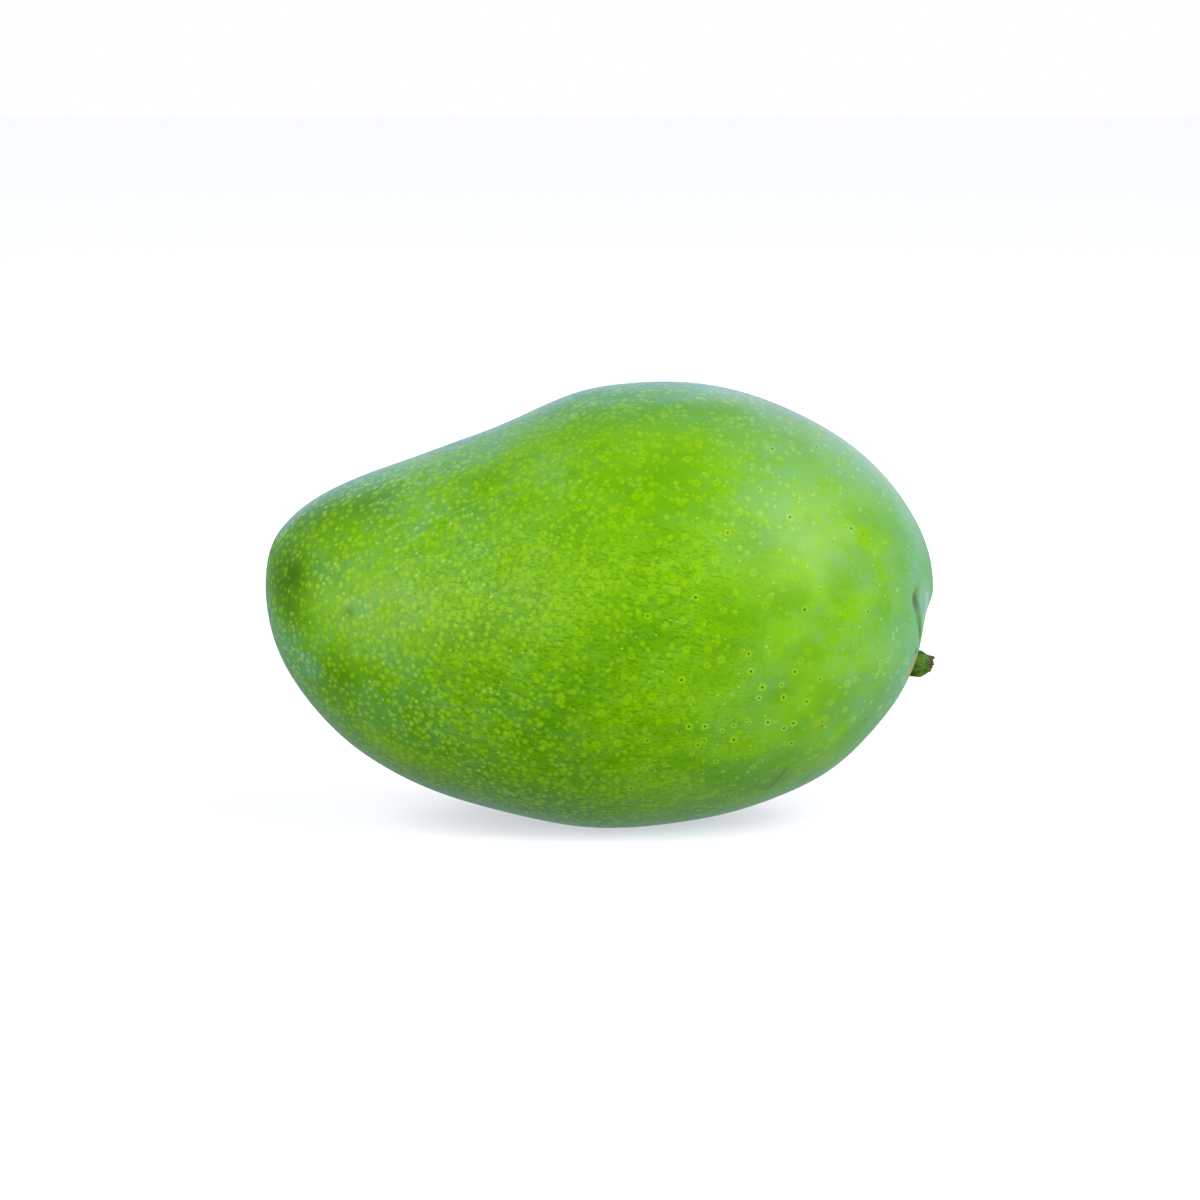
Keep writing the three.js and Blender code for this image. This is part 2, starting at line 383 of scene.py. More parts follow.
class Shader:
    """Adds nodes to a material. Values may be numbers, colours or other nodes' outputs."""

    def __init__(self, name):
        self.material = bpy.data.materials.new(name)
        self.material.use_nodes = True
        self.tree = self.material.node_tree
        self.principled = next(n for n in self.tree.nodes if n.type == "BSDF_PRINCIPLED")
        coordinates = self.tree.nodes.new("ShaderNodeTexCoord")
        self.place = self.vector("SCALE", coordinates.outputs["Object"], scale=1 / MM)
        self.outward = coordinates.outputs["Normal"]

    @cached_property
    def axes(self):
        split = self.node("ShaderNodeSeparateXYZ", {0: self.place})
        return dict(zip("xyz", split.outputs))

    def put(self, socket, value):
        if isinstance(value, bpy.types.NodeSocket):
            self.tree.links.new(value, socket)
        else:
            socket.default_value = value

    def node(self, kind, inputs, **settings):
        node = self.tree.nodes.new(kind)
        for key, value in settings.items():
            setattr(node, key, value)
        for key, value in inputs.items():
            self.put(node.inputs[key], value)
        return node

    def vector(self, operation, a, b=None, scale=None):
        inputs = {0: a}
        if b is not None:
            inputs[1] = b
        if scale is not None:
            inputs["Scale"] = scale
        node = self.node("ShaderNodeVectorMath", inputs, operation=operation)
        return node.outputs["Value" if operation in ("DISTANCE", "DOT_PRODUCT", "LENGTH") else "Vector"]

    def math(self, operation, a, b=0.0):
        return self.node("ShaderNodeMath", {0: a, 1: b}, operation=operation).outputs[0]

    def times(self, *values):
        total = values[0]
        for value in values[1:]:
            total = self.math("MULTIPLY", total, value)
        return total

    def plus(self, *values):
        total = values[0]
        for value in values[1:]:
            total = self.math("ADD", total, value)
        return total

    def step(self, value, low, high, start=0.0, end=1.0):
        """Runs smoothly from start to end as value goes from low to high."""
        inputs = {"Value": value, "From Min": low, "From Max": high, "To Min": start, "To Max": end}
        return self.node("ShaderNodeMapRange", inputs, interpolation_type="SMOOTHSTEP").outputs[0]

    def ramp(self, axis, low, high, start=0.0, end=1.0):
        """The same for the place on an axis, in millimetres."""
        return self.step(self.axes[axis], low, high, start, end)

    def sum_of_ramps(self, terms):
        """Adds up terms. Each is a value and the ramps that it is multiplied by, if any."""
        return self.plus(*(self.times(value, *(self.ramp(*r) for r in ramps)) for value, *ramps in terms))

    def patches(self, rows):
        """Adds up soft round patches, given as place, reach and value."""
        return self.plus(*(self.times(value, self.near(place, reach, 1.0)) for place, reach, value in rows))

    def mix(self, share, a, b):
        node = self.node("ShaderNodeMix", {}, data_type="RGBA")
        self.put(node.inputs[MIX_SHARE], share)
        self.put(node.inputs[MIX_A], a)
        self.put(node.inputs[MIX_B], b)
        return node.outputs[MIX_RESULT]

    def noise(self, size, detail=2.0, place=None, roughness=0.5, distortion=0.0):
        """Cloudy noise from about 0.25 to 0.75 whose blobs are about this many millimetres wide."""
        inputs = {"Vector": place or self.place, "Scale": 1 / size, "Detail": detail}
        inputs.update({"Roughness": roughness, "Distortion": distortion})
        return self.node("ShaderNodeTexNoise", inputs).outputs[0]

    def swing(self, size, detail=2.0, place=None, roughness=0.5):
        """Noise that swings about nothing, from about -0.25 to 0.25."""
        return self.plus(self.noise(size, detail, place, roughness), -0.5)

    def drawn_out(self, share, place=None):
        """The place, squeezed to a share along the fruit, which draws out noise that reads it."""
        return self.vector("MULTIPLY", place or self.place, (share, 1.0, 1.0))

    def spots(self, spacing, depth):
        """Points scattered through the skin, no further than this depth above or below it.

        Gives the distance to the nearest along the skin, in millimetres, whether there is one, and
        two random numbers for it.
        """
        inputs = {"Vector": self.place, "Scale": 1 / spacing, "Randomness": 1.0}
        node = self.node("ShaderNodeTexVoronoi", inputs)
        offset = self.vector("SUBTRACT", node.outputs["Position"], self.place)
        height = self.vector("DOT_PRODUCT", offset, self.outward)
        sideways = self.vector("SUBTRACT", offset, self.vector("SCALE", self.outward, scale=height))
        present = self.math("LESS_THAN", self.math("ABSOLUTE", height), depth)
        random = self.node("ShaderNodeSeparateColor", {"Color": node.outputs["Color"]}).outputs
        return self.vector("LENGTH", sideways), present, random[0], random[1]

    def near(self, point, reach, soft=0.5):
        """One at a point and nothing beyond its reach. The edge is soft over this share of it."""
        distance = self.vector("DISTANCE", self.place, point)
        return self.step(distance, reach * (1 - soft), reach, 1.0, 0.0)

    def from_line(self, start, end):
        """The distance to a straight line between two points, in millimetres."""
        way = Vector(end) - Vector(start)
        offset = self.vector("SUBTRACT", self.place, start)
        along = self.vector("DOT_PRODUCT", offset, tuple(way / way.length_squared))
        along = self.math("MINIMUM", self.math("MAXIMUM", along, 0.0), 1.0)
        foot = self.node("ShaderNodeCombineXYZ", {i: self.times(along, way[i]) for i in range(3)})
        return self.vector("DISTANCE", offset, foot.outputs[0])

    def stored(self, name):
        """A number that the mesh holds for each vertex."""
        return self.node("ShaderNodeAttribute", {}, attribute_name=name).outputs["Fac"]

    def bump(self, height, distance, normal=None):
        inputs = {"Height": height, "Distance": distance * MM, "Strength": 1.0}
        if normal is not None:
            inputs["Normal"] = normal
        return self.node("ShaderNodeBump", inputs).outputs[0]

    def finish(self, **inputs):
        for key, value in inputs.items():
            self.put(self.principled.inputs[key.replace("_", " ")], value)
        return self.material


LIME = srgb(131, 200, 0)
GREEN = srgb(106, 176, 0)
COOL_GREEN = srgb(82, 168, 46)
DEEP_GREEN = srgb(62, 122, 0)
BLOOM = srgb(112, 188, 132)
PALE_BLOOM = srgb(122, 186, 143)
DOT = srgb(154, 214, 0)
WAXED_DOT = srgb(180, 222, 146)
OLIVE = srgb(112, 146, 0)
GLINT = srgb(196, 236, 120)
DARK_SPECK = srgb(36, 56, 10)
CORK = srgb(202, 156, 90)
SCAR_BROWN_AND_GAP_SHADE = srgb(82, 84, 44)
RUST = srgb(150, 150, 0)
CREASE_GREEN = srgb(44, 98, 22)
FROST_AND_HIGHLIGHT = srgb(176, 208, 206)
YELLOW_GREEN = srgb(132, 192, 0)
FAINT_YELLOW_GREEN = srgb(138, 192, 0)
CREASE_END_SHADE = srgb(64, 116, 100)
GLOSS_TINT = (1.0, 0.97, 0.50, 1)
SHEEN_TINT = (0.3, 0.6, 1.0, 1)
BARK_GREEN = srgb(64, 100, 20)
BARK_LIGHT_GREEN = srgb(104, 150, 30)
BARK_FIBRE = srgb(50, 56, 20)
BARK_DRIED = srgb(78, 60, 26)
BARK_FOOT = srgb(70, 58, 26)

# A ramp is an axis, the places on it where the ramp starts and ends, and its values there if they
# aren't 0 and 1.
TIP_HALF = ("x", 4, -46)
STEM_HALF = ("x", 8, 44)

# Patches that are more lime than the skin round them, or less: place, reach and change.
LIME_PATCHES = [
    ((21, -36, 50), 13.0, 0.10),
    ((31, -32, 41), 10.0, 0.20),
    ((29, -30, 25), 14.0, 0.16),
    ((-44, -26, 48), 16.0, 0.16),
    ((-33, -31, 50), 13.0, 0.24),
    ((-20, -30, 60), 16.0, 0.14),
    ((-10, -20, 71), 11.0, 0.26),
    ((3, -31, 59), 8.0, 0.14),
    ((4, -26, 8), 16.0, 0.15),
    ((12, -26, 68), 15.0, -0.20),
    ((36, -29, 54), 7.0, -0.14),
    ((42, -26, 47), 7.0, -0.18),
    ((26, -29, 60), 11.0, -0.18),
    ((7, -36, 49), 9.0, 0.12),
    ((15, -37, 35), 9.0, -0.14),
    ((34, -25, 24), 7.0, -0.14),
    ((46, -15, 20), 7.0, -0.14),
    ((44, -24, 53), 9.0, -0.30),
    ((24, -35, 41), 8.0, -0.12),
    ((-64, -4, 60), 9.0, -0.20),
    ((-50, -10, 66), 14.0, -0.18),
]

# Darker patches: place, reach and strength. The first, a band down the left side of the tip, is
# painted shade; the others darken the skin in patches.
DARK_AND_SHADED_PATCHES = [
    ((-63, -12, 50), 10.5, 0.9),
    ((-56, -10, 62), 11.0, 0.35),
    ((-46, -15, 64), 9.0, 0.35),
    ((-54, -21, 32), 8.0, 0.45),
    ((-62, -15, 42), 6.0, 0.3),
    ((-33, -17, 11), 14.0, 0.25),
    ((-23, -33, 33), 7.0, 0.3),
    ((0, -38, 36), 16.0, 0.2),
    ((-12, -36, 25), 12.0, 0.2),
    ((19, -36, 37), 8.0, 0.2),
    ((-50.9, -23.1, 44.8), 1.9, 0.6),
]

# Patches with more or less bloom than the skin round them: place, reach and change. Those at the end
# of the tip, at (-66, -6, 38) and (-67, -2, 62), lie on its rim and are partly painted reflection.
BLOOM_AND_REFLECTION_PATCHES = [
    ((-61, -13, 35), 8.5, 0.85),
    ((-66, -6, 38), 7.0, 0.4),
    ((-60, -16, 43), 8.0, -0.25),
    ((-52, -22, 34), 8.0, -0.20),
    ((-53, -13, 62), 11.0, -0.30),
    ((-47, -24, 45), 5.0, 0.20),
    ((-67, -2, 62), 9.0, 0.35),
    ((-62, -13, 49), 9.0, -0.30),
    ((-50, -6, 68), 17.0, 0.28),
    ((-40, -14, 66), 9.0, 0.22),
    ((-35, -20, 61), 7.0, 0.34),
    ((-24, -18, 68), 7.0, -0.20),
    ((-30, -7, 76), 16.0, 0.65),
    ((-22, -28, 55), 7.0, 0.20),
    ((-9, -21, 69), 10.0, 0.24),
    ((-38, -25, 40), 11.0, 0.06),
    ((-29, -32, 40), 15.0, -0.26),
    ((-18, -28, 13), 10.0, -0.20),
    ((0, -17, 79), 10.0, -0.10),
    ((-3, -33, 52), 14.0, -0.20),
    ((-38, -17, 14), 14.0, -0.25),
    ((11, -22, 76), 11.0, -0.10),
    ((34, -15, 76), 16.0, 0.16),
    ((22, -18, 78), 7.0, 0.20),
    ((20, -11, 83), 9.0, -0.15),
    ((30, -23, 71), 12.0, 0.20),
    ((27, -27, 64), 10.0, 0.20),
    ((47, -12, 71), 13.0, 0.38),
    ((47, -20, 59), 7.0, -0.06),
    ((48, -23, 39), 11.0, 0.16),
    ((38, -29, 44), 6.0, 0.20),
    ((48, -22, 51), 5.0, 0.25),
    ((54, -16, 41), 7.0, 0.25),
    ((30, -33, 52), 10.0, -0.20),
    ((57, -14, 52), 5.0, -0.20),
    ((19, -36, 37), 10.0, -0.10),
    ((36, -26, 30), 10.0, -0.25),
    ((57, -10, 46), 12.0, 0.20),
    ((46, -19, 26), 7.0, 0.15),
    ((51, -15, 29), 13.0, 0.18),
    ((57, -10, 34), 6.5, 0.50),
    ((54, -11, 27), 8.0, 0.40),
    ((22, -36, 46), 10.0, -0.15),
]

# Single marks: place, reach, strength and colour. In order, they are a yellow-green spot and its dark
# point, a fainter spot lower down and its dark point, a dark point by itself, the wax beside the
# crease with a painted highlight along its pale strip, and painted shade at the low end of the
# crease.
MARK_EDGE = 0.7
MARKS = [
    ((47.7, -20.0, 59.8), 2.3, 1.0, YELLOW_GREEN),
    ((47.9, -20.1, 58.0), 2.1, 1.0, YELLOW_GREEN),
    ((47.6, -20.0, 59.4), 0.35, 1.0, DARK_SPECK),
    ((38.3, -24.8, 23.5), 2.4, 0.6, FAINT_YELLOW_GREEN),
    ((39.6, -24.2, 22.8), 0.4, 0.9, DARK_SPECK),
    ((48.6, -15.6, 22.6), 0.6, 0.6, DARK_SPECK),
    # Wax frost beside the crease, with a painted highlight along its pale strip.
    ((60.2, -8.4, 45.5), 5.0, 0.25, FROST_AND_HIGHLIGHT),
    ((60.8, -7.2, 45.7), 1.5, 0.6, FROST_AND_HIGHLIGHT),
    ((60.8, -7.2, 44.2), 1.5, 0.7, FROST_AND_HIGHLIGHT),
    ((60.5, -7.4, 42.7), 1.4, 0.7, FROST_AND_HIGHLIGHT),
    ((60.0, -8.1, 41.4), 1.2, 0.6, FROST_AND_HIGHLIGHT),
    # Painted shade at the low end of the crease.
    ((58.5, -9.0, 35.1), 1.0, 0.9, CREASE_END_SHADE),
]

# A spot with less gloss, at the first of the marks.
DULL_SPOT = (47.8, -20.0, 59.0)
DULL_REACH = 3.0
DULLED = 0.4

# A scratch in the wax.
SCRATCH_ENDS = ((33.0, -20.5, 14.2), (29.4, -15.5, 8.6))
SCRATCH_HALF_WIDTH = 0.75
SCRATCH_STRENGTH = 0.38

# In all that follows, an edge is the values of a noise or a distance between which something goes
# from 0 to 1, or from and to the values that the edge names after them. Sizes are in millimetres.

# Lime and green patches, more lime higher up and greener lower down, and the ramps towards a cooler
# green.
PATCH_SIZE = 11
PATCH_STRETCH = 0.5
PATCH_EDGE = (0.36, 0.64)
LIMER_HIGHER_UP = ("z", 8, 60, -0.08, 0.06)
MOST_COOL = 0.8
COOL = [
    (0.7, ("z", 74, 86)),
    (0.5, ("x", -52, -67)),
    (0.3, ("z", 16, 2)),
    (0.3, ("x", 50, 60)),
]


def ground_colour(s):
    """Broad patches of lime and green, more lime higher up, which are cooler at the rims."""
    cloud = s.noise(PATCH_SIZE, detail=4.0, place=s.drawn_out(PATCH_STRETCH))
    limeness = s.plus(cloud, s.ramp(*LIMER_HIGHER_UP), s.patches(LIME_PATCHES))
    base = s.mix(s.step(limeness, *PATCH_EDGE), GREEN, LIME)
    cool = s.math("MINIMUM", s.sum_of_ramps(COOL), MOST_COOL)
    return s.mix(cool, base, COOL_GREEN)


# Bloom, the bluish wax: a little everywhere, and more at the tip, the stem end, the rims and the far
# side of the stem end. At the rims, on the top, the bottom, the end of the tip and the stem end, it is
# partly painted reflection of the pale surroundings. The last term takes some away in a lime streak
# on the near cheek.
BLOOM_AND_RIM_REFLECTION = [
    (0.01,),
    (0.13, TIP_HALF),
    (0.13, STEM_HALF),
    (0.36, ("x", 50, 61)),
    (0.40, ("z", 77, 87)),
    (0.10, ("z", 20, 6)),
    (0.30, ("x", -65.5, -68)),
    (0.30, ("x", 20, 45), ("y", -17, -3)),
    (-0.15, ("z", 31, 40), ("z", 57, 48), ("x", 20, 40), ("x", 56, 44), ("y", 0, -14)),
]
WORN_SIZES = (5.0, 1.1)
WORN_EDGE = (0.80, 1.24, -0.9, 1.1)
WORN_ALONG = ("x", 0, 40, 1.0, 0.4)
FLECK_SIZE = 0.7
FLECK_EDGE = (0.50, 0.72)
FLECKS = [(0.07,), (0.32, TIP_HALF), (0.14, STEM_HALF)]
DRIFT_SIZE = 2.6
DRIFTS = [(0.28,), (0.28, TIP_HALF), (0.28, STEM_HALF)]
BARE_SHARE = 0.5  # how far bloom below nothing clears the flecks and drifts too
MOST_WAX_AND_REFLECTION = 0.9


def wax_and_reflection_share(s):
    """How thick the bloom lies, which at the rims is partly painted reflection. It is worn into
    patches, streaks and specks towards the tip.
    """
    bloom_and_reflection = s.plus(s.sum_of_ramps(BLOOM_AND_RIM_REFLECTION), s.patches(BLOOM_AND_REFLECTION_PATCHES))
    broad, fine = WORN_SIZES
    drawn_out = s.drawn_out(PATCH_STRETCH)
    worn = s.plus(
        s.noise(broad, detail=3.0, place=drawn_out), s.noise(fine, detail=3.0, roughness=0.7)
    )
    worn = s.times(s.step(worn, *WORN_EDGE), s.ramp(*WORN_ALONG))
    wax_and_reflection = s.times(s.math("MAXIMUM", bloom_and_reflection, 0.0), s.plus(1.0, worn))
    bare = s.times(BARE_SHARE, s.math("MINIMUM", bloom_and_reflection, 0.0))
    flecks = s.step(s.noise(FLECK_SIZE, detail=3.0, roughness=0.7), *FLECK_EDGE)
    flecks = s.times(flecks, s.sum_of_ramps(FLECKS))
    drifts = s.swing(DRIFT_SIZE, detail=3.0, place=drawn_out, roughness=0.6)
    drifts = s.times(drifts, s.sum_of_ramps(DRIFTS))
    return s.math("MAXIMUM", s.plus(wax_and_reflection, bare, flecks, drifts), 0.0)


# Dark mottling, and the cloud that breaks up the dark patches and the painted shade.
MOTTLE_SIZE = 1.3
MOTTLE_EDGE = (0.50, 0.68)
MOTTLE_ALONG = ("x", 44, -40, 0.05, 0.25)
DARK_CLOUD_SIZE = 4
DARK_CLOUD_FLOOR = 0.5


def mottled_share(s):
    """Fine dark mottling, strongest towards the tip."""
    cloud = s.noise(MOTTLE_SIZE, detail=4.0, roughness=0.65)
    return s.times(s.step(cloud, *MOTTLE_EDGE), s.ramp(*MOTTLE_ALONG))


def dark_and_shade_share(s):
    """The dark patches and the band of painted shade, broken up by a cloudy noise."""
    cloud = s.plus(DARK_CLOUD_FLOOR, s.noise(DARK_CLOUD_SIZE, detail=4.0, roughness=0.65))
    return s.math("MINIMUM", s.times(s.patches(DARK_AND_SHADED_PATCHES), cloud), 1.0)


# Wrinkles. Their slant is the height that they lose for each millimetre towards the stem.
WRINKLE_SIZE = 0.40
WRINKLE_STRETCH = 0.36
WRINKLE_SLANT = (0, 0, 0.2)
WRINKLE_EDGE = (0.52, 0.38)
WRINKLED = [(0.06,), (0.94, ("x", 40, 8), ("x", -56, -26), ("z", 76, 52))]
WRINKLE_STRENGTH = 0.46


def wrinkle_share(s):
    """Fine wrinkles that run mostly along the fruit, deepest low on its middle."""
    slanted = s.vector("ADD", s.place, s.vector("MULTIPLY", WRINKLE_SLANT, s.axes["x"]))
    stretched = s.drawn_out(WRINKLE_STRETCH, slanted)
    creased = s.noise(WRINKLE_SIZE, detail=2.0, place=stretched, distortion=0.8)
    return s.times(s.step(creased, *WRINKLE_EDGE), s.sum_of_ramps(WRINKLED))


# Lenticels, the pale dots of the skin: the spacing of the points that they are drawn from, how far
# those may lie above or below the skin, the radius, how much it grows with the size, the share of
# the points that is drawn, and the edge in radii.
SMALLEST_DOT = 0.6
WOBBLE_HEIGHT = 0.30
WOBBLE_SIZE = 0.8
SMALL_DOTS = {
    "spacing": 1.30, "depth": 0.50, "radius": 0.62, "growth": 0.8, "edge": (1.05, 0.28),
    "share": [
        (0.03,),
        (0.92, ("x", 22, -34)),
        (0.45, ("z", 54, 76), ("x", 44, 12)),
        (0.16, ("x", 16, -4)),
        (0.12, ("z", 30, 10), ("x", 40, 10)),
        (0.22, ("z", 58, 74), ("x", 16, 32)),
    ],
}
LARGE_DOTS = {
    "spacing": 3.0, "depth": 0.90, "radius": 0.85, "growth": 0.7, "edge": (1.05, 0.40),
    "share": [(0.9, ("x", -46, 4))],
}


def dots(s, wobble, spacing, depth, radius, growth, edge, share):
    """Dots of one kind: their points, which of those are kept, and the dots' own soft shape.

    The gap to a dot's middle is in millimetres, and also in radii of the dot.
    """
    gap, present, pick, size = s.spots(spacing, depth)
    radius = s.plus(wobble, s.times(radius, s.plus(SMALLEST_DOT, s.times(growth, size))))
    radii = s.math("DIVIDE", gap, radius)
    kept = s.times(present, s.math("LESS_THAN", pick, s.sum_of_ramps(share)))
    shape = s.times(kept, s.step(radii, *edge))
    return SimpleNamespace(
        gap=gap, present=present, pick=pick, size=size, kept=kept, radii=radii, shape=shape
    )


# Small dots, glints and rusty points. The last two are picked by each point's random number.
SMALL_DOT_STRENGTH = [(0.44,), (0.18, TIP_HALF)]
SMALL_DOT_VARIETY = 0.38
# Fewer small dots in the dark patches and in the band of painted shade.
SMALL_DOT_LOSS = -0.6  # in dark patches
TOP_FADE = ("z", 66, 80, 1.0, 0.75)
GLINT_PICK = 0.95
GLINT_EDGE = (0.28, 0.08)
GLINT_STRENGTH = 0.6
RUST_PICK = 0.07
RUST_EDGE = (0.45, 0.10)
RUSTED = [(0.45, TIP_HALF)]


def add_small_dots(s, base, small, pale, dark_and_shade):
    """Small dots that crowd the tip. A few have a tiny glint, and some near the tip a rusty one."""
    varied = s.plus(s.times(SMALL_DOT_VARIETY, small.pick), s.times(SMALL_DOT_LOSS, dark_and_shade))
    strength = s.times(s.plus(s.sum_of_ramps(SMALL_DOT_STRENGTH), varied), s.ramp(*TOP_FADE))
    base = s.mix(s.times(small.shape, strength), base, pale)
    glint = s.times(small.present, s.math("GREATER_THAN", small.pick, GLINT_PICK))
    base = s.mix(s.times(GLINT_STRENGTH, glint, s.step(small.gap, *GLINT_EDGE)), base, GLINT)
    rusty = s.times(small.present, s.math("LESS_THAN", small.pick, RUST_PICK))
    return s.mix(s.times(rusty, s.step(small.gap, *RUST_EDGE), s.sum_of_ramps(RUSTED)), base, RUST)


# Large dots, their olive cores, and the pricked ones: where these are, how likely, and how deep.
LARGE_DOT_STRENGTH = [(0.66,), (-0.45, ("x", 18, 44), ("z", 30, 46)), (-0.16, STEM_HALF)]
CORE_SIZES = (0.3, 0.6)
CORE_EDGE = (0.45, 0.15)
CORE_STRENGTH = 0.35
PRICKED_STRETCH = [(1.0, ("x", -20, 12), ("x", 52, 47))]
PRICK_CHANCE = [(0.04,), (0.08, ("x", 10, 24))]
PRICK_CHANCE_NEARBY = 0.75
PRICKED_PLACE = (24, -30, 27)
PRICKED_REACH = 20.0
PRICKED_SOFTNESS = 0.6
PRICKED_STRENGTH = 0.24
PRICK_DEPTHS = (0.0, 0.8, 0.25, 1.0)
PRICK_EDGE = (0.35, 0.08)


def add_large_dots(s, base, large, pale):
    """Broad soft dots in place of the small ones towards the stem, some of them pricked dark."""
    nearby = s.times(PRICK_CHANCE_NEARBY, s.near(PRICKED_PLACE, PRICKED_REACH, PRICKED_SOFTNESS))
    chance = s.plus(s.sum_of_ramps(PRICK_CHANCE), nearby)
    pricked = s.times(large.kept, s.math("LESS_THAN", large.pick, chance), s.sum_of_ramps(PRICKED_STRETCH))
    strength = s.plus(s.sum_of_ramps(LARGE_DOT_STRENGTH), s.times(PRICKED_STRENGTH, pricked))
    base = s.mix(s.times(large.shape, strength), base, pale)
    core = s.times(large.kept, s.step(large.size, *CORE_SIZES), s.step(large.radii, *CORE_EDGE))
    base = s.mix(s.times(CORE_STRENGTH, core), base, OLIVE)
    prick = s.times(pricked, s.step(large.size, *PRICK_DEPTHS), s.step(large.gap, *PRICK_EDGE))
    return s.mix(prick, base, DARK_SPECK)


def add_marks(s, base):
    """The single marks and the scratch."""
    for place, reach, strength, colour in MARKS:
        base = s.mix(s.times(strength, s.near(place, reach, MARK_EDGE)), base, colour)
    gap = s.from_line(*SCRATCH_ENDS)
    scratched = s.step(gap, SCRATCH_HALF_WIDTH, SCRATCH_HALF_WIDTH / 3)
    return s.mix(s.times(SCRATCH_STRENGTH, scratched), base, DEEP_GREEN)


# Cork: a round about the stub's foot with a ragged edge, and a line on the near rim of the pit, of
# which only the stretch between two heights shows.
FOOT_CORK_EDGE = (3.9, 3.2)
FOOT_CORK_RAGGED = 0.9
FOOT_CORK_RAGGED_SIZE = 1.1
RIM_MIDDLE = (0, 0.3, 31.8)
RIM_RADIUS = 8.5
RIM_HALF_WIDTH = 0.8
RIM_WAVER = 1.2
RIM_WAVER_SIZE = 1.6
RIM_SHOWS = [(1.0, ("y", -2, -6), ("z", 28.2, 29.7), ("z", 34.6, 33.8))]
CORK_ENDS = [(1.0, ("x", 45, 50))]
SHADE_STRENGTH = 0.6


def off_axis(s, middle):
    """The distance to the line along the fruit through a point."""
    offset = s.vector("SUBTRACT", s.place, tuple(middle))
    return s.vector("LENGTH", s.vector("MULTIPLY", offset, (0, 1, 1)))


def cork_share(s):
    """Cork in the pit round the stub and on its rim."""
    ragged = s.times(FOOT_CORK_RAGGED, s.noise(FOOT_CORK_RAGGED_SIZE))
    round_foot = s.step(s.plus(off_axis(s, STUB_FOOT), ragged), *FOOT_CORK_EDGE)
    waver = s.times(RIM_WAVER, s.swing(RIM_WAVER_SIZE))
    off_rim = s.math("ABSOLUTE", s.plus(off_axis(s, RIM_MIDDLE), -RIM_RADIUS, waver))
    rim = s.times(s.step(off_rim, RIM_HALF_WIDTH, RIM_HALF_WIDTH / 3), s.sum_of_ramps(RIM_SHOWS))
    return s.times(s.math("MAXIMUM", round_foot, rim), s.sum_of_ramps(CORK_ENDS))


# How waxed the pale dots look, which at the rims is partly painted reflection: a share of the wax,
# more of it towards the stem.
DOT_WAX_AND_REFLECTION = [(0.6,), (1.0, STEM_HALF)]
MOST_DOT_WAX_AND_REFLECTION = 0.8

# The fine relief of the skin: shares of its height, which is in millimetres, and a broader swell.
SMALL_DOT_RELIEF = 0.4
LARGE_DOT_RELIEF = 0.3
GRAIN_RELIEF = 0.4
GRAIN_SIZE = 0.55
WRINKLE_RELIEF = -0.6
RELIEF_HEIGHT = 0.03
SWELL_SIZE = 5
SWELL_HEIGHT = 0.10

ROUGHNESS = 0.29
ROUGHNESS_CHANGE = 0.12
ROUGHNESS_SIZE = 3
ROUGHNESS_OF_WAX = 0.05


def skin_material():
    s = Shader("skin")
    wax_and_reflection = wax_and_reflection_share(s)
    dark_and_shade = dark_and_shade_share(s)
    fold = wrinkle_share(s)
    cork = cork_share(s)

    base = ground_colour(s)
    bloom_and_reflection = s.mix(s.ramp(*STEM_HALF), BLOOM, PALE_BLOOM)
    # Bloom, which at the rims is partly painted reflection.
    base = s.mix(s.math("MINIMUM", wax_and_reflection, MOST_WAX_AND_REFLECTION), base, bloom_and_reflection)
    base = s.mix(mottled_share(s), base, DEEP_GREEN)
    # Dark patches, and a band of painted shade down the left side of the tip.
    base = s.mix(dark_and_shade, base, DEEP_GREEN)
    base = s.mix(s.times(WRINKLE_STRENGTH, fold), base, DEEP_GREEN)

    dot_wax_and_reflection = s.math("MINIMUM", s.times(wax_and_reflection, s.sum_of_ramps(DOT_WAX_AND_REFLECTION)), MOST_DOT_WAX_AND_REFLECTION)
    pale = s.mix(dot_wax_and_reflection, DOT, WAXED_DOT)
    wobble = s.times(WOBBLE_HEIGHT, s.swing(WOBBLE_SIZE))
    small = dots(s, wobble, **SMALL_DOTS)
    large = dots(s, wobble, **LARGE_DOTS)
    base = add_small_dots(s, base, small, pale, dark_and_shade)
    base = add_large_dots(s, base, large, pale)
    base = add_marks(s, base)
    # Painted shade in the crease, then the brown scar darkened with painted shade of its gap.
    base = s.mix(s.times(SHADE_STRENGTH, s.stored("shade")), base, CREASE_GREEN)
    base = s.mix(s.stored("scar_and_gap_shade"), base, SCAR_BROWN_AND_GAP_SHADE)
    base = s.mix(cork, base, CORK)

    relief = s.plus(
        s.times(SMALL_DOT_RELIEF, small.shape),
        s.times(LARGE_DOT_RELIEF, large.shape),
        s.times(GRAIN_RELIEF, s.noise(GRAIN_SIZE, detail=3.0)),
        s.times(WRINKLE_RELIEF, fold),
    )
    normal = s.bump(relief, RELIEF_HEIGHT)
    normal = s.bump(s.noise(SWELL_SIZE), SWELL_HEIGHT, normal=normal)
    roughness = s.plus(
        ROUGHNESS,
        s.times(ROUGHNESS_CHANGE, s.noise(ROUGHNESS_SIZE, detail=3.0)),
        s.times(ROUGHNESS_OF_WAX, wax_and_reflection),
        s.times(DULLED, s.math("MAXIMUM", cork, s.near(DULL_SPOT, DULL_REACH))),
    )
    return s.finish(
        Base_Color=base, Roughness=roughness, Normal=normal,
        Specular_IOR_Level=0.4, Specular_Tint=GLOSS_TINT,
        Sheen_Weight=0.08, Sheen_Roughness=0.25, Sheen_Tint=SHEEN_TINT,
    )


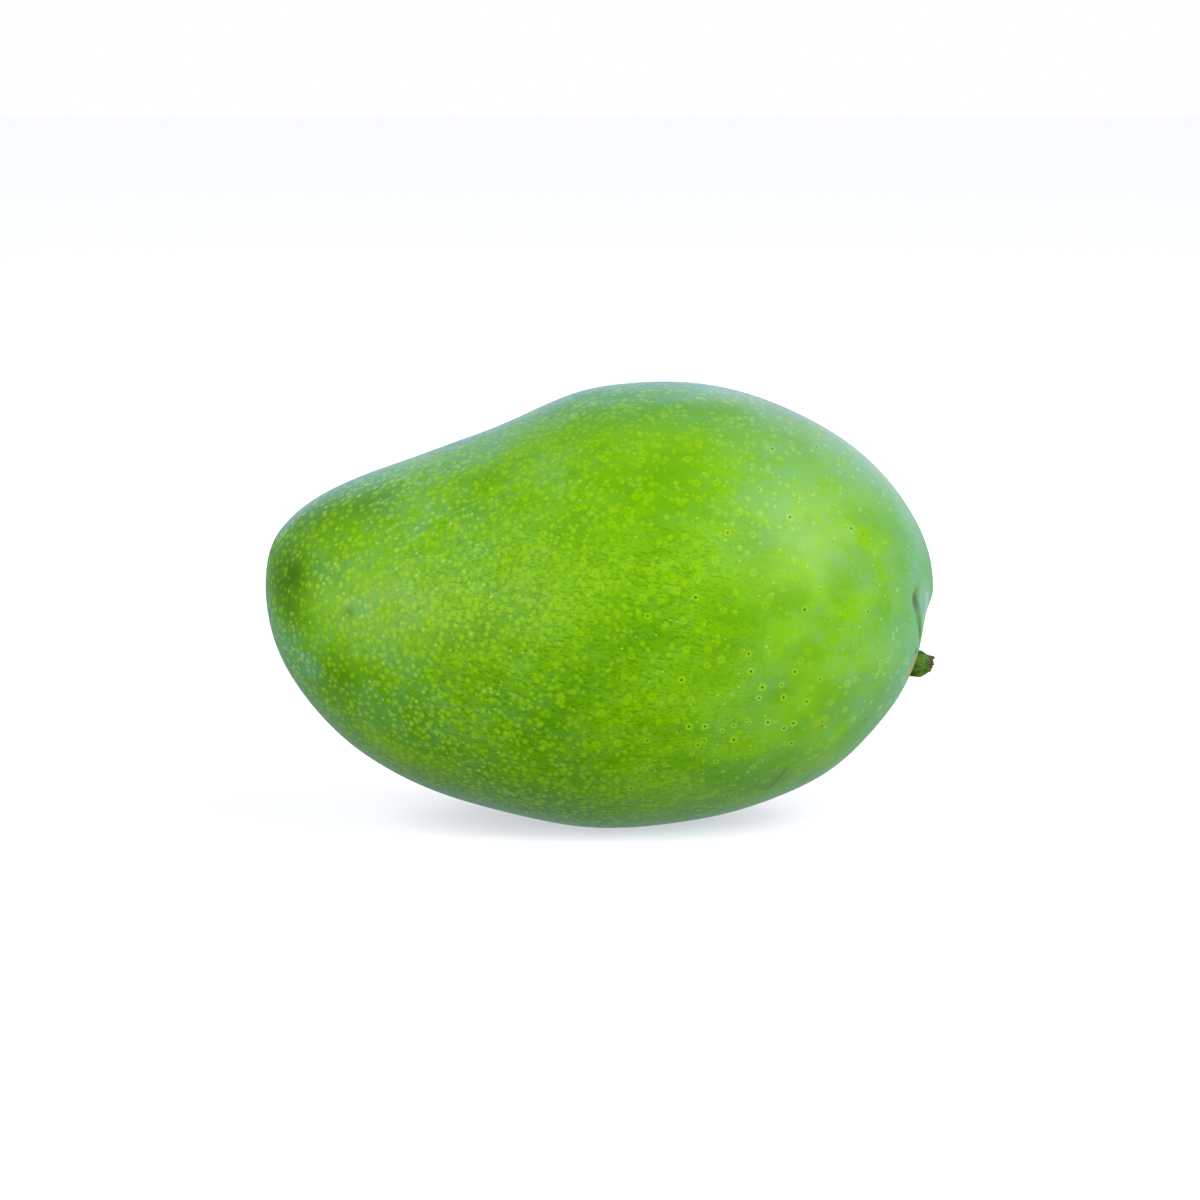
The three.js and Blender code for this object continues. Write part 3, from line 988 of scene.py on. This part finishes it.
# The stub's bark: patches of two greens, fibres, the dried end and the brown foot. The last two
# start and are full at places along x, on a ragged line.
BARK_PATCH_SIZE = 1.6
BARK_PATCH_EDGE = (0.4, 0.62)
BARK_FIBRE_SIZE = 0.35
BARK_FIBRE_STRETCH = 0.25
BARK_FIBRE_EDGE = (0.5, 0.66)
BARK_FIBRE_STRENGTH = 0.5
BARK_FIBRE_RELIEF = 0.10
DRIED_ALONG = (62.3, 62.9)
DRIED_STRENGTH = 0.85
DRIED_RAGGED = 1.2
DRIED_RAGGED_SIZE = 0.8
FOOT_ALONG = (59.6, 58.4)
FOOT_STRENGTH = 0.7
FOOT_RAGGED_SIZE = 1.0


def stem_material():
    s = Shader("stem")
    bark = s.mix(s.step(s.noise(BARK_PATCH_SIZE), *BARK_PATCH_EDGE), BARK_GREEN, BARK_LIGHT_GREEN)
    fibre = s.noise(BARK_FIBRE_SIZE, detail=3.0, place=s.drawn_out(BARK_FIBRE_STRETCH))
    fibres = s.times(BARK_FIBRE_STRENGTH, s.step(fibre, *BARK_FIBRE_EDGE))
    bark = s.mix(fibres, bark, BARK_FIBRE)
    ragged = s.times(DRIED_RAGGED, s.noise(DRIED_RAGGED_SIZE, detail=3.0))
    dried = s.step(s.plus(s.axes["x"], ragged), *DRIED_ALONG)
    bark = s.mix(s.times(DRIED_STRENGTH, dried), bark, BARK_DRIED)
    foot = s.step(s.plus(s.axes["x"], s.noise(FOOT_RAGGED_SIZE)), *FOOT_ALONG)
    bark = s.mix(s.times(FOOT_STRENGTH, foot), bark, BARK_FOOT)
    normal = s.bump(fibre, BARK_FIBRE_RELIEF)
    return s.finish(Base_Color=bark, Roughness=0.62, Normal=normal, Specular_IOR_Level=0.35)


def floor_material():
    """White sheet that glows a little, so that shadows on it stay pale."""
    s = Shader("floor")
    away = s.step(s.vector("LENGTH", s.place), *FLOOR_GLOW_REACH)
    glow = s.plus(FLOOR_GLOW, s.times(1 - FLOOR_GLOW, away))
    return s.finish(
        Base_Color=FLOOR_GREY, Roughness=0.6, Specular_IOR_Level=0.0,
        Emission_Color=FLOOR_GLOW_COLOUR, Emission_Strength=glow,
    )


# ---------------------------------------------------------------------------------------------
# Stage
# ---------------------------------------------------------------------------------------------

CAMERA_AIM = Vector((-2.84, 0, 43.9)) * MM
CAMERA_ELEVATION = math.radians(8)
CAMERA_DISTANCE = 0.9
FRAME_WIDTH = 0.2353  # width of the picture at the fruit
SENSOR_WIDTH = 36  # in millimetres

FLOOR_HALF = 4.0
FLOOR_GREY = (0.24, 0.24, 0.24, 1)
FLOOR_GLOW = 0.60
FLOOR_GLOW_COLOUR = (0.90, 0.92, 1.0, 1)
FLOOR_GLOW_REACH = (120.0, 420.0)  # in millimetres from the fruit, where the glow grows to white

# The studio's brightness from the camera's side to behind the fruit.
STUDIO = {"From Min": -0.55, "From Max": 0.45, "To Min": 0.0, "To Max": 0.32}

# Lights: azimuth, elevation, distance, width, height, brightness, the kind of ray that doesn't see
# the light, and tint. Azimuth 0 is the camera's side and 90 is +X.
WHITE = (1.0, 1.0, 1.0)
SOFTBOXES = {
    "right_softbox": (60, 27, 0.70, 0.46, 0.44, 5.2, None, WHITE),
    "left_softbox": (307, 10, 0.70, 0.38, 0.38, 2.8, None, WHITE),
    "front_fill": (337, 18, 0.70, 0.45, 0.45, 3.6, "glossy", WHITE),
    "top_softbox": (70, 78, 0.70, 0.45, 0.45, 0.3, None, WHITE),
    "table_bounce": (60, -32, 0.70, 0.70, 0.45, 2.2, "glossy", WHITE),
    "backdrop_shine_right": (148, 30, 1.3, 1.1, 1.2, 2.0, "diffuse", (0.62, 0.54, 1.0)),
    "backdrop_shine_left": (194, 30, 1.3, 1.1, 1.2, 1.7, "diffuse", (0.40, 0.50, 1.0)),
    "table_shine": (180, -25, 1.3, 2.4, 1.0, 0.3, "diffuse", (0.35, 0.65, 1.0)),
}
FLOOR_LIGHTS = {
    "floor_light_left": (285, 36, 1.0, 0.8, 0.8, 13.0, None, WHITE),
    "floor_light_right": (75, 36, 1.0, 0.8, 0.8, 13.0, None, WHITE),
}


def add_camera():
    data = bpy.data.cameras.new("camera")
    data.sensor_width = SENSOR_WIDTH
    data.lens = data.sensor_width * CAMERA_DISTANCE / FRAME_WIDTH
    camera = bpy.data.objects.new("camera", data)
    back = Vector((0, -math.cos(CAMERA_ELEVATION), math.sin(CAMERA_ELEVATION)))
    camera.location = CAMERA_AIM + back * CAMERA_DISTANCE
    camera.rotation_euler = (-back).to_track_quat("-Z", "Y").to_euler()
    bpy.context.scene.collection.objects.link(camera)
    bpy.context.scene.camera = camera


def add_softbox(name, azimuth, elevation, distance, width, height, brightness, unseen_by, tint):
    """A rectangular light that faces the fruit. Its brightness is that of its surface."""
    data = bpy.data.lights.new(name, "AREA")
    data.shape = "RECTANGLE"
    data.size, data.size_y = width, height
    data.energy = brightness * math.pi * width * height
    data.color = tint
    light = bpy.data.objects.new(name, data)
    a, e = math.radians(azimuth), math.radians(elevation)
    way = Vector((math.cos(e) * math.sin(a), -math.cos(e) * math.cos(a), math.sin(e)))
    light.location = CAMERA_AIM + way * distance
    light.rotation_euler = way.to_track_quat("Z", "Y").to_euler()
    light.visible_camera = False
    if unseen_by:
        setattr(light, "visible_" + unseen_by, False)
    bpy.context.scene.collection.objects.link(light)
    return light


def add_world():
    """A dim studio that is brighter behind the fruit, with a plain white backdrop all round."""
    world = bpy.data.worlds.new("studio")
    bpy.context.scene.world = world
    world.use_nodes = True
    tree = world.node_tree
    background = next(n for n in tree.nodes if n.type == "BACKGROUND")
    coordinates = tree.nodes.new("ShaderNodeTexCoord")
    split = tree.nodes.new("ShaderNodeSeparateXYZ")
    bright = tree.nodes.new("ShaderNodeMapRange")
    bright.interpolation_type = "SMOOTHSTEP"
    path = tree.nodes.new("ShaderNodeLightPath")
    seen = tree.nodes.new("ShaderNodeMath")
    seen.operation = "MAXIMUM"
    tree.links.new(coordinates.outputs["Generated"], split.inputs[0])
    tree.links.new(split.outputs["Y"], bright.inputs["Value"])
    for key, value in STUDIO.items():
        bright.inputs[key].default_value = value
    tree.links.new(bright.outputs[0], seen.inputs[0])
    tree.links.new(path.outputs["Is Camera Ray"], seen.inputs[1])
    tree.links.new(seen.outputs[0], background.inputs["Strength"])
    background.inputs["Color"].default_value = (1, 1, 1, 1)


def add_floor():
    mesh = bpy.data.meshes.new("floor")
    h = FLOOR_HALF
    mesh.from_pydata([(-h, -h, 0), (h, -h, 0), (h, h, 0), (-h, h, 0)], [], [(0, 1, 2, 3)])
    floor = bpy.data.objects.new("floor", mesh)
    bpy.context.scene.collection.objects.link(floor)
    mesh.materials.append(floor_material())
    floor.visible_diffuse = False
    floor.visible_glossy = False
    floor.visible_shadow = False
    return floor


def light_floor_alone(floor, lights):
    """Lets lights reach only the floor, though the fruit still casts its shadows there."""
    receivers = bpy.data.collections.new("floor_lights_reach")
    receivers.objects.link(floor)
    for light in lights:
        light.light_linking.receiver_collection = receivers


def dress(piece, node, material):
    """Gives a piece its material and puts it in its node's place."""
    piece.data.materials.append(material)
    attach(piece, "root")
    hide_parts(node)


dress(make_fruit(), "fruit", skin_material())
dress(make_stub(), "stem_stub", stem_material())

floor = add_floor()
add_world()
add_camera()
for name, settings in SOFTBOXES.items():
    add_softbox(name, *settings)
light_floor_alone(floor, [add_softbox(name, *settings) for name, settings in FLOOR_LIGHTS.items()])
bpy.context.scene.view_settings.view_transform = "Standard"
